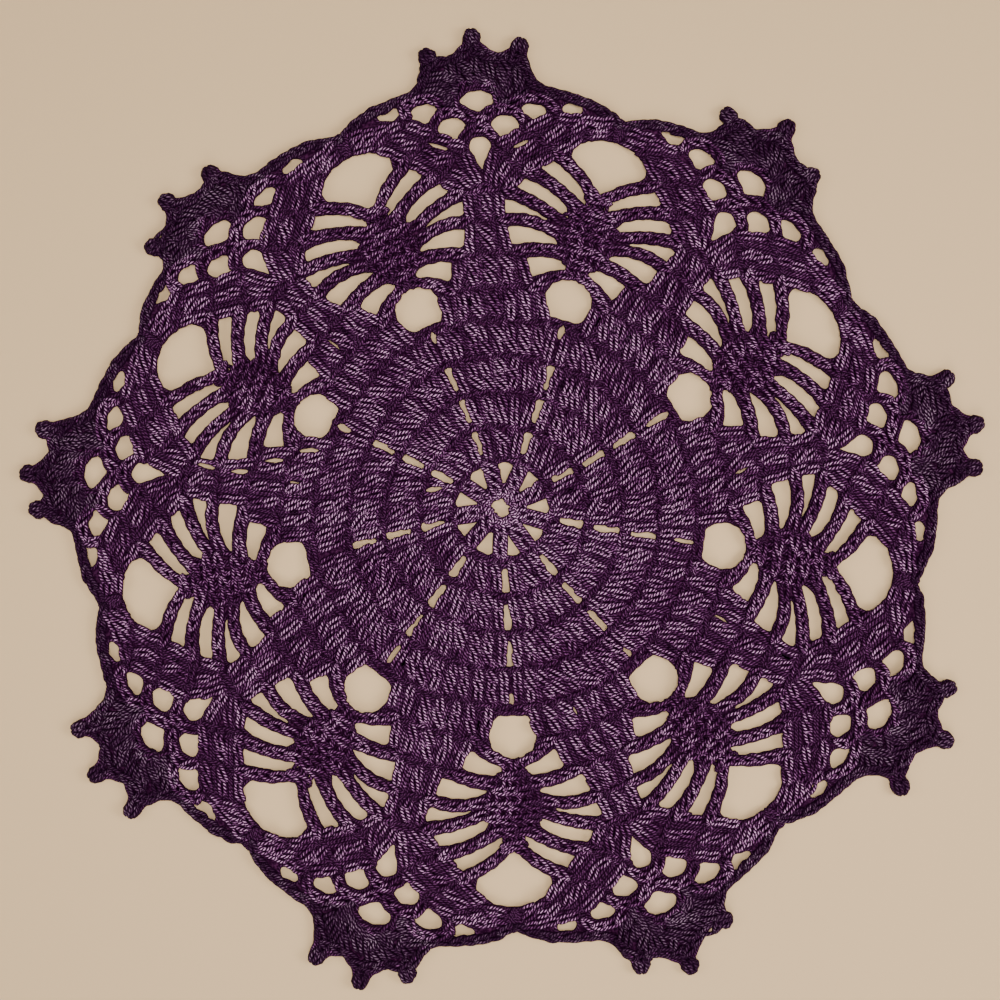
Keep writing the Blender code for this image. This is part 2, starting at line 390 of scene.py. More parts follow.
BACKS_SPREAD = 0.55  # the share of the way between two posts over which the backs lie
SHORT_HALF_WIDTH = 0.9
SHORT_WOBBLE = 0.12
DROP_BASE = 0.42  # how wide a chain loop's pointed base is, as a share of its round end
DROP_WIDEST = 0.76  # what the widest place of that shape is divided by
COLUMN_POWER = 0.5  # the lower it is, the squarer are a strand's ends
SUNK_SHADE = 1.15  # how much darker a ridge is painted, as painted shade down between the rounds

# Heights in mm along a loop, at shares of its length.
LINK_RISE = ((0, 1.7), (0.45, 1.65), (0.8, 1.05), (1, 0.75))
RIDGE_RISE = ((0, 1.05), (0.45, 1.0), (0.8, 0.75), (1, 0.6))
EDGE_RISE = ((0, 1.4), (0.45, 1.3), (0.8, 0.9), (1, 0.7))
TURN_RISE = ((0, 0.75), (0.25, 1.45), (0.7, 1.5), (1, 0.7))
FILL_RISE = ((0, 0.7), (0.5, 0.95), (1, 0.7))
SHORT_RISE = ((0, 0.8), (0.5, 1.35), (1, 0.8))


def wobble(size):
    return rng.normal(0, size, 2)


def loop_path(start, end, half_width, rise, shape, points, roll=0.0):
    """A closed loop from start to end.

    rise lists its height at shares of its length, shape gives the width's share for angles round it, and
    roll tips one side of it up.
    """
    angles = angles_round(points)
    share = (1 - np.cos(angles)) / 2
    across = half_width * shape(angles)
    height = np.interp(share, *zip(*rise)) + roll * across
    run = end - start
    flat = start + share[:, None] * run + across[:, None] * square(unit(run))
    return np.column_stack([flat, height])


def drop_shape(angles):
    """Pointed at the base and round at the end, as a chain loop is."""
    swell = DROP_BASE + (1 - DROP_BASE) * (1 - np.cos(angles)) / 2
    return np.sin(angles) * swell / DROP_WIDEST


def column_shape(angles):
    """Two strands side by side, closed by short turns at the ends, as in a post."""
    return np.sign(np.sin(angles)) * np.abs(np.sin(angles)) ** COLUMN_POWER


def chain(skein, line, pitch=LINK_PITCH, rise=LINK_RISE, shade=0.0, closed=False):
    """Chain loops along a line, one after the other, each starting inside the one before."""
    total = length_of(line)
    count = max(1, round(total / pitch))
    length = min(total, LINK_REACH * total / count)
    step = total / count if closed else (total - length) / max(1, count - 1)
    starts = np.arange(count) * step
    places, headings = spread(line, (starts + length / 2) / total)
    for place, heading in zip(places, headings):
        turned = unit(heading + square(heading) * rng.normal(0, LINK_TURN_SPREAD))
        run = turned * length * (1 + rng.normal(0, LINK_LENGTH_SPREAD))
        start = place - run / 2 + wobble(LINK_WOBBLE)
        half_width = LINK_HALF_WIDTH * (1 + rng.normal(0, LINK_WIDTH_SPREAD))
        roll = rng.normal(0, LINK_ROLL_SPREAD)
        path = loop_path(start, start + run, half_width, rise, drop_shape, LINK_POINTS, roll)
        skein.add(path, shade)


def strands(skein, start, end, half_width, rise, points=POST_POINTS):
    """Two strands side by side from start to end, which are one closed loop."""
    roll = rng.normal(0, STRAND_ROLL)
    skein.add(loop_path(start, end, half_width, rise, column_shape, points, roll))


def post(skein, base, top, half_width, taper=0.0, room=1.0):
    """A treble: the turns of yarn up it, each a pair of strands that leans across the post.

    taper narrows its foot, and room is the share of the lean that it has space for.
    """
    heading = unit(top - base)
    across = square(heading)
    lean = across * rng.normal(0, POST_LEAN) * room
    foot = base + heading * FOOT_OUT + wobble(POST_WOBBLE) - lean
    head = top - heading * HEAD_IN + wobble(POST_WOBBLE) + lean
    length = float(np.linalg.norm(head - foot))
    turns = max(1, round(length / TURN_LENGTH))
    half_run = heading * (length / turns / 2 + TURN_TUCK)
    for turn in range(turns):
        share = (turn + 0.5) / turns
        middle = foot + (head - foot) * share + wobble(TURN_WOBBLE * skein.unruly)
        tilt = across * rng.normal(TURN_TILT, TILT_SPREAD * skein.unruly) * room
        narrowed = half_width * (1 - taper * (1 - share))
        lifted = rng.normal(0, TURN_LIFT)
        rise = [(place, height + lifted) for place, height in TURN_RISE]
        strands(skein, middle - half_run - tilt, middle + half_run + tilt, narrowed, rise)


def row_of_posts(skein, base_line, top_line, count):
    """Posts from one line to another, evenly spread, with the backs of their loops low between them."""
    base_run = length_of(base_line)
    top_run = length_of(top_line)
    base_room = base_run / count / 2 - YARN_RADIUS
    top_room = top_run / count / 2 - YARN_RADIUS
    half_width = np.clip(max(base_room, top_room), LEAST_POST, POST_HALF_WIDTH)
    taper = np.clip(1 - base_room / half_width, 0.0, MOST_TAPER)
    even = np.linspace(0, 1, count)
    margin = half_width + YARN_RADIUS
    bases, _ = spread(base_line, 0.5 + (even - 0.5) * (1 - 2 * margin * (1 - taper / 2) / base_run))
    tops, _ = spread(top_line, 0.5 + (even - 0.5) * (1 - 2 * margin / top_run))
    for number, (base, top) in enumerate(zip(bases, tops)):
        at_edge = number in (0, count - 1)
        post(skein, base, top, half_width, taper, EDGE_ROOM if at_edge else 1.0)
    spare = (base_room + top_room) / 2 - half_width
    if spare < LEAST_SPARE:
        return
    backs = 1 if spare < WIDE_SPARE else 2
    for share in (np.arange(backs) + 0.5) / backs:
        along = 0.5 + (share - 0.5) * BACKS_SPREAD
        for base, next_base, top, next_top in zip(bases, bases[1:], tops, tops[1:]):
            low = base + (next_base - base) * along
            high = top + (next_top - top) * along
            fill(skein, low, high, np.clip(spare, *BACK_HALF_WIDTHS))


def fill(skein, base, top, half_width):
    """The back of a post's loop, low between it and the next, painted darker as shade."""
    start = base + wobble(POST_WOBBLE)
    path = loop_path(start, start + top - base, half_width, FILL_RISE, column_shape, FILL_POINTS)
    skein.add(path, SUNK_SHADE / 2)


def ridge(skein, line, closed=False):
    """The ridge of chain between two rounds, sunk among the posts and painted darker as shade."""
    chain(skein, line, rise=RIDGE_RISE, shade=SUNK_SHADE, closed=closed)


def short_stitch(skein, base, top):
    """A double crochet: one pair of strands, low and close."""
    foot = base + wobble(SHORT_WOBBLE)
    strands(skein, foot, top + wobble(SHORT_WOBBLE), SHORT_HALF_WIDTH, SHORT_RISE)


# ---------------- small openings

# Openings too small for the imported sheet, where the yarn parts: in mm on the cloth, each at a turn.
Opening = namedtuple("Opening", "x y length width turn")
YARN_OPENINGS = (
    Opening(-68.0, 9.9, 3.9, 0.9, -15), Opening(-60.6, 8.7, 4.3, 1.0, 0),
    Opening(-52.3, 11.2, 3.9, 1.1, 5), Opening(-44.2, 13.6, 4.0, 0.9, 6),
    Opening(-47.4, 6.2, 2.2, 0.5, -5), Opening(-15.0, 8.2, 3.8, 0.9, 6),
    Opening(-15.6, 4.5, 3.5, 0.9, 14), Opening(50.6, -25.2, 3.4, 0.5, -30),
    Opening(-38.4, 37.8, 3.4, 0.5, -37), Opening(17.0, -46.6, 3.2, 0.5, -57),
    Opening(55.2, 8.8, 3.2, 0.5, 33), Opening(-14.9, 83.5, 4.5, 0.8, -16),
    Opening(4.4, 84.0, 3.2, 0.9, 24),
)
# The slits between the repeats in the fifth round: the reach of each one's middle, and its size.
FIFTH_SLITS = rows(
    "spider middle length width",
    (0, 41.5, 5.6, 1.2), (1, 42.8, 2.8, 1.0),
    (2, 42.2, 2.4, 0.7), (3, 40.5, 2.9, 1.1),
    (5, 41.6, 4.4, 1.1), (6, 44.0, 2.0, 0.8),
    (7, 44.0, 2.0, 0.8), (8, 42.9, 4.1, 0.8),
)


def all_openings():
    found = list(YARN_OPENINGS)
    for slit in FIFTH_SLITS:
        turn = spider_turn(slit.spider, slit.middle)
        x, y = POLE + slit.middle * aimed(turn)
        found.append(Opening(x, y, slit.length, slit.width, turn))
    return found


OPENINGS = all_openings()


def parted(path):
    """The same path with its yarn pushed to one side of each small opening that it would cross."""
    for opening in OPENINGS:
        offset = path[:, :2] - (opening.x, opening.y)
        if np.abs(offset).min(axis=0).max() > opening.length or len(path) > LINK_POINTS:
            continue
        heading = aimed(opening.turn)
        along = offset @ heading / (opening.length / 2 + YARN_RADIUS)
        side = offset @ square(heading)
        room = (opening.width / 2 + YARN_RADIUS) * np.sqrt(np.clip(1 - along**4, 0, None))
        hand = 1 if side.mean() > 0 else -1
        push = np.clip(room - side * hand, 0, None) * hand
        path = path.copy()
        path[:, :2] += push[:, None] * square(heading)
    return path


# ---------------- the middle and the wedges

RIDGES = (12.7, 20.9, 29.4, 38.0, 46.6, 54.6, 62.4, 70.1, 77.0)
# Rounds: a repeat's posts, and how far they spread to each side of the shell's axis at base and top.
ROUNDS = rows(
    "posts base_half top_half",
    (1, 0.0, 0.0),
    (3, 17.9, 17.6),
    (5, 18.6, 18.2),
    (7, 19.1, 18.8),
    (9, 19.6, 19.5),
    (7, 15.2, 13.9),
    (5, 10.3, 8.2),
    (3, 5.2, 4.2),
    (3, 3.9, 3.7),
)
SOLID_ROUNDS = 5
RIDGE_STEP = 2.0  # degrees from point to point along a ridge
# The first round has one post in each repeat, with a back low on each side of it.
FIRST_POST = ((35.0, 3.3), (35.0, RIDGES[0]))
FIRST_HALF_WIDTH = 0.85
FIRST_BACK_HALF_WIDTH = 0.35
FIRST_BACK_SIDE = 1.15
FIRST_BACK_START = 0.2
# The turns of yarn about the middle hole, and the heads of the stitches that poke into it.
RING_TURNS = ((2.7, 0.8), (3.3, 1.25), (4.5, 0.85))
RING_POINTS = 28
RING_SWAY = 0.15
HEADS = 11
HEAD_STRAY = 0.3  # how far a head is from its even place, in steps between heads and in mm
HEAD_REACH = 2.3
HEAD_ROOT = 4.3
HEAD_HALF_WIDTH = 0.5
HEAD_POINTS = 10
HEAD_RISE = ((0.0, 0.8), (0.4, 1.5), (1.0, 0.9))
OVAL = 0.4  # how far the hole is from round
OVAL_TURN = 132  # and which way it is longest, in degrees


def ridge_line(index, reach, from_turn, to_turn):
    """A line at one reach across a repeat."""
    count = max(2, int((to_turn - from_turn) / RIDGE_STEP) + 1)
    points = [(turn, reach) for turn in np.linspace(from_turn, to_turn, count)]
    return curve_through(placed(points, index), steps=2)


def whole_ridge(reach):
    """A closed ridge right round the cloth."""
    return np.array([laid(turn, reach) for turn in np.arange(0, 360 + RIDGE_STEP, RIDGE_STEP)])


def centre_ring(skein):
    """The ring that the first round is worked into, and the stitches' heads over it."""
    angles = angles_round(RING_POINTS)
    for radius, height in RING_TURNS:
        x = POLE[0] + radius * np.cos(angles)
        y = POLE[1] + radius * np.sin(angles)
        skein.add(np.column_stack([x, y, height + RING_SWAY * np.sin(3 * angles)]))
    for step in range(HEADS):
        turn = 360 * (step + rng.uniform(-HEAD_STRAY, HEAD_STRAY)) / HEADS
        oval = OVAL * math.cos(2 * math.radians(turn - OVAL_TURN))
        inner = HEAD_REACH + oval + rng.normal(0, RING_SWAY)
        out = aimed(turn)
        root = POLE + out * HEAD_ROOT + wobble(HEAD_STRAY)
        strands(skein, POLE + out * inner, root, HEAD_HALF_WIDTH, HEAD_RISE, points=HEAD_POINTS)


def centre_rounds():
    """The ring and the five closed rounds of the solid centre."""
    skein = Skein("centre_rounds")
    centre_ring(skein)
    for index in range(REPEATS):
        base, top = placed(FIRST_POST, index)
        post(skein, base, top, FIRST_HALF_WIDTH)
        across = square(unit(top - base)) * FIRST_BACK_SIDE
        start = base + (top - base) * FIRST_BACK_START
        for hand in (-1, 1):
            fill(skein, start + across * hand, top + across * hand, FIRST_BACK_HALF_WIDTH)
    for number in range(SOLID_ROUNDS):
        ridge(skein, whole_ridge(RIDGES[number]), closed=True)
    for number in range(1, SOLID_ROUNDS):
        fill_round(skein, number)
    return skein


def round_line(index, reach, half_turn):
    """A line at one reach across the shell's axis of a repeat."""
    return ridge_line(index, reach, HALF_REPEAT - half_turn, HALF_REPEAT + half_turn)


def fill_round(skein, number):
    row = ROUNDS[number]
    for index in range(REPEATS):
        base = round_line(index, RIDGES[number - 1], row.base_half)
        top = round_line(index, RIDGES[number], row.top_half)
        row_of_posts(skein, base, top, row.posts)


def wedge_rounds():
    """The four narrowing rounds of each wedge, with their own ridges."""
    skein = Skein("wedge_rounds", shade=-0.2)
    for number in range(SOLID_ROUNDS, len(ROUNDS)):
        fill_round(skein, number)
        for index in range(REPEATS):
            ridge(skein, round_line(index, RIDGES[number], ROUNDS[number].top_half))
    return skein


# ---------------- arms and spiders

# Rows of an arm beyond its wedge: the ends of the line that its posts stand on, and of the one they reach.
ARM_ROWS = rows(
    "base_near base_far top_near top_far",
    ((15.2, 76.2), (20.2, 78.7), (11.8, 80.0), (17.8, 87.7)),
    ((11.8, 80.0), (17.8, 87.7), (7.2, 85.6), (13.4, 91.7)),
    ((7.2, 85.6), (13.4, 91.7), (3.2, 91.4), (9.2, 95.5)),
    ((3.2, 91.4), (9.2, 95.5), (0.2, 92.3), (0.2, 97.6)),
)
ARM_POSTS = 3
# The legs on one side of a spider, from the arm to the body, and how far each bows outwards.
LEGS = rows(
    "arm body bow",
    ((9.0, 54.4), (2.0, 58.8), 0.4),
    ((13.4, 62.3), (4.1, 63.5), 0.6),
    ((16.0, 69.5), (6.6, 68.0), 1.0),
    ((15.3, 75.9), (6.1, 71.0), 0.6),
    ((11.6, 80.8), (3.1, 74.6), 0.7),
    ((7.7, 85.4), (0.8, 78.0), 0.4),
)
LEG_ROOTS = (1.6, 1.4)  # how far a leg runs on into the arm and into the body, in mm
LEG_PITCH = 2.8
# The rows of a spider's body: its reach, half its width in mm, and its stitches.
BODY_ROWS = rows(
    "reach half_width stitches",
    (60.3, 3.0, 2),
    (63.8, 5.0, 3),
    (67.3, 6.5, 5),
    (70.3, 6.5, 5),
    (73.2, 5.2, 4),
    (76.2, 3.0, 2),
)
BODY_FOOT = 58.0
BODY_PITCH = 3.1
BODY_CHAIN_OUT = 1.2  # how far outside a row its chain lies
BODY_FOOT_OUT = 1.0  # and where the next row's stitches start
BODY_FOOT_WIDTH = 0.9


def arms():
    """The arms that run on from each wedge to both its spiders, and meet under the valleys."""
    skein = Skein("arms")
    for index in range(REPEATS):
        for row in ARM_ROWS:
            for hand in (1, -1):
                base = curve_through(placed(on_side(hand, (row.base_near, row.base_far)), index))
                top = curve_through(placed(on_side(hand, (row.top_near, row.top_far)), index))
                row_of_posts(skein, base, top, ARM_POSTS)
                ridge(skein, top)
    return skein


def bowed(start, end, bow):
    """Laid points on a shallow bow from start to end, run on a little at both."""
    middle = (start + end) / 2
    middle = middle + unit(middle - POLE) * bow
    first = unit(start - middle)
    last = unit(end - middle)
    return [start + first * LEG_ROOTS[0], start, middle, end, end + last * LEG_ROOTS[1]]


def spider_legs():
    """The six chains on each side of every spider."""
    skein = Skein("spider_legs", shade=0.55)
    for index in range(REPEATS):
        for leg in LEGS:
            for hand in (1, -1):
                start, end = placed(on_side(hand, (leg.arm, leg.body)), index)
                chain(skein, curve_through(bowed(start, end, leg.bow)), pitch=LEG_PITCH)
    return skein


def spider_bodies():
    """The solid bodies, of rows of short stitches."""
    skein = Skein("spider_bodies", shade=0.8, unruly=1.4)
    for index in range(REPEATS):
        below = BODY_FOOT
        for row in BODY_ROWS:
            half_turn = math.degrees(row.half_width / row.reach)
            line = ridge_line(index, row.reach + BODY_CHAIN_OUT, -half_turn, half_turn)
            foot = ridge_line(index, below, -half_turn * BODY_FOOT_WIDTH, half_turn * BODY_FOOT_WIDTH)
            shares = (np.arange(row.stitches) + 0.5) / row.stitches
            tops, _ = spread(line, shares)
            bases, _ = spread(foot, shares)
            for base, top in zip(bases, tops):
                short_stitch(skein, base, top)
            chain(skein, line, pitch=BODY_PITCH)
            below = row.reach + BODY_FOOT_OUT
    return skein


# ---------------- nets, shells and picots

# The net under each shell: two chains given up to the shell's axis, and one on each side of it.
INNER_CHAIN = ((17.4, 88.0), (18.6, 90.2), (20.0, 90.9))
MIDDLE_CHAIN = ((13.4, 92.2), (14.3, 94.6), (16.1, 95.4), (18.0, 94.4), (20.0, 92.7))
NEAR_ROOF = ((9.3, 95.8), (10.3, 98.0), (12.2, 98.5), (14.0, 97.8), (15.7, 96.0))
FAR_ROOF = ((30.7, 95.8), (30.0, 98.6), (27.4, 99.5), (25.6, 98.4), (24.3, 96.0))
NET_POSTS = (((9.5, 95.6), (9.5, 100.0)), ((30.5, 95.6), (30.5, 100.4)))
NET_POST_HALF_WIDTH = 0.7
ARCH_CENTRE = (20.0, 96.2)
ARCH_RADIUS = 5.4
ARCH_POINTS = 15
SHELL_POSTS = 16
SHELL_SPREAD = 200  # degrees round the arch that the shell's posts stand on
# The shell's edge chain from the valley, up to the shell's axis, and the line that the posts reach.
EDGE_CHAIN = (
    (0.0, 96.0), (2.2, 97.8), (4.6, 99.2), (8.0, 100.0), (11.5, 100.8), (13.0, 103.4),
    (13.8, 106.2), (14.9, 107.9), (17.3, 107.8), (20.0, 110.0),
)
SHELL_TOPS = (
    (11.4, 100.9), (12.3, 102.4), (13.0, 104.6), (14.1, 107.0), (15.6, 108.2), (17.6, 108.4),
    (20.0, 110.2),
)


def arch_line(index):
    """The arch that a shell stands on, from its side at the net's first gap round to the other."""
    centre = placed([ARCH_CENTRE], index)[0]
    out = unit(centre - POLE)
    angles = np.radians(np.linspace(-SHELL_SPREAD / 2, SHELL_SPREAD / 2, ARCH_POINTS))
    return centre + ARCH_RADIUS * (np.outer(np.cos(angles), out) + np.outer(np.sin(angles), square(out)))


def whole_line(half, index):
    """A smooth line from its given half and the same half beyond the shell's axis."""
    return curve_through(placed(list(half) + across_shell(half[:-1]), index))


def nets():
    """The chains and posts that make the nets under the shells."""
    skein = Skein("nets", shade=0.45)
    for index in range(REPEATS):
        for half in (INNER_CHAIN, MIDDLE_CHAIN):
            chain(skein, whole_line(half, index))
        for roof in (NEAR_ROOF, FAR_ROOF):
            chain(skein, curve_through(placed(roof, index)))
        chain(skein, arch_line(index), rise=EDGE_RISE, shade=0.3)
        for upright in NET_POSTS:
            base, top = placed(upright, index)
            post(skein, base, top, NET_POST_HALF_WIDTH)
    return skein


def shells():
    """The fan of posts over each arch, and the chain along the whole outer edge."""
    skein = Skein("shells", shade=0.7, unruly=1.8)
    for index in range(REPEATS):
        row_of_posts(skein, arch_line(index), whole_line(SHELL_TOPS, index), SHELL_POSTS)
        chain(skein, whole_line(EDGE_CHAIN, index), rise=EDGE_RISE, shade=0.25)
    return skein


# A picot is a round knob of chain: the point that it grows from, and its middle's turn and reach.
PICOTS = rows(
    "root turn reach",
    ((15.0, 107.0), 14.5, 110.6),
    ((20.0, 109.3), 20.0, 113.0),
    ((25.2, 106.8), 26.1, 109.4),
)
# How far each shell's first and last picot stand round and out from there.
STRAYS = (
    ((0.1, -2.4), (0.9, -1.2)),
    ((-0.1, 0.2), (-0.3, 0.0)),
    ((0.0, -1.1), (0.4, -1.6)),
    ((0.1, 0.4), (-1.4, 0.9)),
    ((-0.2, 0.8), (-0.1, 1.4)),
    ((-0.2, 0.5), (-0.5, -0.2)),
    ((0.2, -1.2), (0.2, -2.1)),
    ((-1.5, 0.0), (0.3, -0.2)),
    ((0.4, 0.2), (0.0, 0.0)),
)
KNOB_RADIUS = 1.65
KNOB_POINTS = 16
KNOB_TURNS = ((1.0, 0.7), (0.62, 1.1))  # the share of that radius and the height of each turn of yarn
KNOB_LUMPS = (0.1, 0.08, 0.2)  # how uneven a turn is: four lumps, one lump, and up and down
LUMP_START = (0, 6)  # where they start, in radians
KNOB_RISE = ((0, 1.2), (0.5, 1.75), (1, 1.1))
KNOB_HALF_WIDTH = 0.55
KNOB_LEAN = 0.9
LOOP_ENDS = (1.5, 1.7)  # how far inside and outside a knob's middle the loops over it end
STALK_HALF_WIDTH = 0.8
STALK_ENDS = (0.8, 0.2)  # how far its stalk starts before its foot, and ends short of its middle


def knob_turn(skein, centre, out, radius, level):
    """One uneven turn of yarn round a knob."""
    angles = angles_round(KNOB_POINTS)
    four, one, height = KNOB_LUMPS
    lumps = 1 + four * np.cos(4 * angles + rng.uniform(*LUMP_START))
    lumps += one * np.cos(angles + rng.uniform(*LUMP_START))
    circle = np.outer(np.cos(angles), out) + np.outer(np.sin(angles), square(out))
    ring = centre + radius * lumps[:, None] * circle
    skein.add(np.column_stack([ring, level + height * np.cos(2 * angles + rng.uniform(*LUMP_START))]))


def picot(skein, foot, centre):
    """A knob of two turns of yarn on a stalk, with two loops of chain over it."""
    out = unit(centre - foot)
    for size, level in KNOB_TURNS:
        knob_turn(skein, centre, out, KNOB_RADIUS * size, level)
    root, tip = STALK_ENDS
    strands(skein, foot - out * root, centre - out * tip, STALK_HALF_WIDTH, SHORT_RISE)
    inner, outer = LOOP_ENDS
    for hand in (-1, 1):
        lean = square(out) * KNOB_LEAN * hand
        start = centre + lean - out * inner
        end = centre + lean / 2 + out * outer
        skein.add(loop_path(start, end, KNOB_HALF_WIDTH, KNOB_RISE, drop_shape, LINK_POINTS))


def picots():
    """Three knobs on each shell."""
    skein = Skein("picots", shade=0.95)
    for index, (first, last) in enumerate(STRAYS):
        for knob, (round_by, out_by) in zip(PICOTS, (first, (0.0, 0.0), last)):
            centre = (knob.turn + round_by, knob.reach + out_by)
            picot(skein, *placed([knob.root, centre], index))
    return skein


# ---------------- the ground

GROUND_INSET = 0.4
GROUND_LEVELS = (0.65, 0.85)
WELD = 0.01  # corners this close are one
MEET = 0.001  # and borders this close meet
OPENING_POINTS = 12
OPENING_CLEARANCE = 0.3  # how far the ground stands back from a small opening


def rim_lines():
    """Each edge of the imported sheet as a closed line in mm, run with the cloth on its right."""
    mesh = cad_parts["doily"].data.copy()
    sheet = bmesh.new()
    sheet.from_mesh(mesh)
    bmesh.ops.remove_doubles(sheet, verts=sheet.verts, dist=WELD * MM)
    sheet.to_mesh(mesh)
    sheet.free()
    points = np.array([vertex.co for vertex in mesh.vertices])
    on_top = points[:, 2] > points[:, 2].mean()
    following = {}
    for face in mesh.polygons:
        if abs(face.normal.z) > 0.5:
            continue
        corners = list(face.vertices)
        for here, there in zip(corners, corners[1:] + corners[:1]):
            if on_top[here] and on_top[there]:
                following[here] = there
    lines = []
    while following:
        here = next(iter(following))
        corners = []
        while here in following:
            corners.append(here)
            here = following.pop(here)
        lines.append(points[corners, :2] / MM)
    bpy.data.meshes.remove(mesh)
    return sorted(lines, key=len, reverse=True)


def drawn_in(line, inset):
    """A closed line moved to its right, into the cloth."""
    steps = np.roll(line, -1, axis=0) - line
    right = np.column_stack([steps[:, 1], -steps[:, 0]])
    right += np.roll(right, 1, axis=0)
    return line + units(right) * inset


def opening_line(opening):
    """The ground's edge round a small opening, run with the cloth on its right."""
    angles = angles_round(OPENING_POINTS)
    heading = aimed(opening.turn)
    along = np.cos(angles) * (opening.length / 2 + OPENING_CLEARANCE)
    across = np.sin(angles) * (opening.width / 2 + OPENING_CLEARANCE)
    return (opening.x, opening.y) + np.outer(along, heading) + np.outer(across, square(heading))


def turns_round(places, lines):
    """How many times the closed lines together run round each place, against the clock."""
    count = np.zeros(len(places), int)
    for line in lines:
        for here, there in zip(line, np.roll(line, -1, axis=0)):
            step = there - here
            on_left = step[0] * (places[:, 1] - here[1]) > step[1] * (places[:, 0] - here[0])
            rising = (here[1] <= places[:, 1]) & (places[:, 1] < there[1]) & on_left
            falling = (there[1] <= places[:, 1]) & (places[:, 1] < here[1]) & ~on_left
            count += rising.astype(int) - falling.astype(int)
    return count


def ground_faces():
    """The ground's points in mm, and the triangles between them, all facing up."""
    lines = [drawn_in(line, GROUND_INSET) for line in rim_lines()]
    lines += [opening_line(opening) for opening in OPENINGS]
    corners = [Vector(corner) for line in lines for corner in line]
    borders = []
    for line in lines:
        first = len(borders)
        borders += [(first + step, first + (step + 1) % len(line)) for step in range(len(line))]
    cut = delaunay_2d_cdt(corners, borders, [], 0, MEET)
    flat = np.array([(corner.x, corner.y) for corner in cut[0]])
    triangles = np.array(cut[2])
    triangles = triangles[turns_round(flat[triangles].mean(axis=1), lines) == -1]
    used, triangles = np.unique(triangles, return_inverse=True)
    return flat[used], triangles.reshape(-1, 3)


def ground_cloth(material):
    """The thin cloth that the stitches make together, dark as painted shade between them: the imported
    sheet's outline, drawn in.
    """
    flat, triangles = ground_faces()
    count = len(flat)
    places = np.vstack([np.column_stack([flat, np.full(count, level)]) for level in GROUND_LEVELS])
    sides = {(int(a), int(b)) for face in triangles for a, b in zip(face, np.roll(face, -1))}
    walls = [(a, b, b + count, a + count) for a, b in sorted(sides) if (b, a) not in sides]
    faces = (triangles + count).tolist() + triangles[:, ::-1].tolist() + walls
    return in_scene("ground_cloth", mesh_of("ground_cloth", places, faces, material))


# ---------------- edges

# How far inside an edge the strands along it lie, and their height.
GAP_STRAND = (0.45, 0.65)
RIM_STRANDS = ((0.4, 0.65), (1.25, 0.8))
EDGE_STEP = 0.8
EDGE_POINTS = 22  # the fewest points on an edge
EDGE_BEAT = 2.9  # from one bump of an edge to the next
EDGE_SWAY = 0.2
EDGE_WOBBLE = 0.06
EDGE_LIFT = 0.15
SMALL_GAP = 18.0  # a gap that is less than this round is held a little further open
SMALL_GAP_ROOM = 0.3


def edge_strand(line, inset, height):
    """A closed path that runs a little inside one edge of the cloth, with a small bump at each stitch."""
    closed = np.vstack([line, line[:1]])
    length = length_of(closed)
    count = max(EDGE_POINTS, round(length / EDGE_STEP))
    line = at_runs(closed, runs_along(closed), np.arange(count) * length / count)
    heading = units(np.roll(line, -1, axis=0) - np.roll(line, 1, axis=0))
    inward = np.stack([heading[:, 1], -heading[:, 0]], axis=1)
    beats = max(2, round(length / EDGE_BEAT))
    beat = 2 * np.pi * (np.arange(count) * beats / count + rng.uniform())
    inside = inset + EDGE_SWAY * np.sin(beat) + rng.normal(0, EDGE_WOBBLE, count)
    if length < SMALL_GAP:
        inside += SMALL_GAP_ROOM
    flat = line + inward * inside[:, None]
    flat = (np.roll(flat, 1, axis=0) + 2 * flat + np.roll(flat, -1, axis=0)) / 4
    return np.column_stack([flat, height + EDGE_LIFT * np.cos(beat)])


def edges():
    """The yarn that shows all along the cloth's edges: the sides of its outermost stitches."""
    skein = Skein("edges", shade=0.7)
    rim, *gaps = rim_lines()
    for strand in RIM_STRANDS:
        skein.add(edge_strand(rim, *strand))
    for gap in gaps:
        skein.add(edge_strand(gap, *GAP_STRAND))
    return skein


# ---------------- cotton

FLANK_SHARE = 0.3  # how far up a ply its flank colour lies
LEAST_SHARE = 0.17  # what still shows on the crests in the deepest painted shade
FULL_SHINE = 0.9  # the gloss of a ply's crest
GROOVE_ROUGHNESS = 0.62
CREST_ROUGHNESS = 0.34
COTTON_SPECULAR = 0.04
COAT_ROUGHNESS = 0.38
CREST_SHARPNESS = 5.0
FLANK_SHADE_POWER = 2.8
TWIST_UNEVENNESS = 0.6
TWIST_NOISE = 900
DYE_NOISES = ((300, 3.2), (900, 2.4))  # the scale and strength of each unevenness
DYE_AND_LIGHT_COLOURS = ("Groove Colour", "Flank Colour", "Crest Colour")
FUZZ_ROUGHNESS = 0.9
FUZZ_NOISE = 1300
FUZZ_SPOTS = (0.45, 0.7)
PLY_BUMP = 0.22 * MM
FUZZ_BUMP = 0.3 * MM


def feed(tree, node, given):
    """Link inputs of a node, by name, to the outputs given for them, or set them to numbers or colours."""
    for name, value in given.items():
        if isinstance(value, bpy.types.NodeSocket):
            tree.links.new(value, node.inputs[name])
        else:
            node.inputs[name].default_value = (*value, 1) if isinstance(value, tuple) else value


def wired(tree, kind, given=None, **settings):
    """A new node with these settings, fed with what is given."""
    node = tree.nodes.new(kind)
    for name, value in settings.items():
        setattr(node, name, value)
    feed(tree, node, given or {})
    return node


def arithmetic(tree, operation, *values):
    """A Math node on outputs or numbers."""
    return wired(tree, "ShaderNodeMath", dict(enumerate(values)), operation=operation).outputs[0]


def noise_over(tree, scale, detail):
    """A noise over the piece's own coordinates."""
    place = wired(tree, "ShaderNodeTexCoord").outputs["Object"]
    given = {"Vector": place, "Scale": scale, "Detail": detail}
    return wired(tree, "ShaderNodeTexNoise", given).outputs["Fac"]


